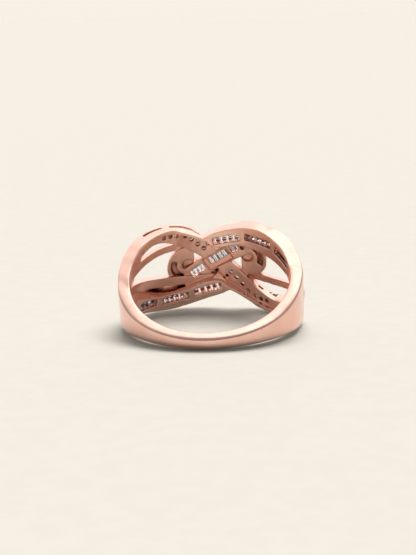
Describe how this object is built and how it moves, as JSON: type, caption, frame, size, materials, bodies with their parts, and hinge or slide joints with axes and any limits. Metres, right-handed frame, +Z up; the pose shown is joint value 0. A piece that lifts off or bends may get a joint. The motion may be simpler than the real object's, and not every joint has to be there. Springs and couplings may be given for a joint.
{
  "type": "knot ring",
  "caption": "Open cast dress ring: a tapering band whose head is four stone-set ribbons knotted round a slanting middle bar with two curls.",
  "frame": {"origin": "middle of the base of the resting ring, on the surface it lies on", "axes": "+Z up, +Y from the back of the band towards the raised head, +X to the right seen from the back of the band"},
  "size_m": [0.0204, 0.0216, 0.0107],
  "materials": {
    "rose_gold": "polished rose gold",
    "clear_stone": "cut and polished clear stone"
  },
  "bodies": {
    "root": {"ring_metal": "rose_gold", "baguettes_lower": "clear_stone", "baguettes_upper": "clear_stone", "stones_middle": "clear_stone", "rounds_upper_left": "clear_stone", "rounds_lower_right": "clear_stone", "rounds_left_arms": "clear_stone", "rounds_right_arms": "clear_stone"}
  },
  "joints": []
}
